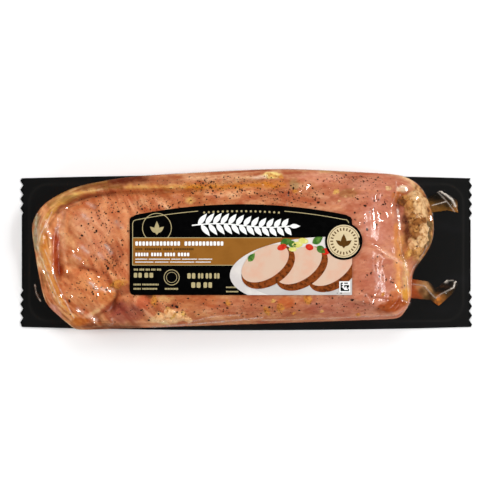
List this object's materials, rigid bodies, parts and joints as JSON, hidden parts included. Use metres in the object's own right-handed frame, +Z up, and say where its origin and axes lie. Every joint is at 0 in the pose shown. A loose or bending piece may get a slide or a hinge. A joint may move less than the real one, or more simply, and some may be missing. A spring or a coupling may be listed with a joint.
{
  "type": "marinated pork loin fillet in a vacuum pack",
  "caption": "Raw marinated pork loin fillet sealed under clear film on a flat black backing, with a die-cut paper label on top.",
  "frame": {"origin": "middle of the underside of the flat backing web", "axes": "+X along the pack towards the end with the clump of seasoning, +Z up out of the label"},
  "size_m": [0.305, 0.1081, 0.033],
  "materials": {
    "web": "smooth black film, satin gloss",
    "fillet": "moist raw pork, pink to orange, with pepper and fat",
    "label": "black printed paper with gold and white fields, semi-gloss",
    "film": "clear glossy vacuum film",
    "seasoning": "wet clumps of tan and brown seasoning with pepper and herbs",
    "juice": "thin amber marinade caught in the film"
  },
  "bodies": {
    "root": {"backing_web": "web", "film_sealed_fillet": "fillet", "label": "label"}
  },
  "joints": []
}
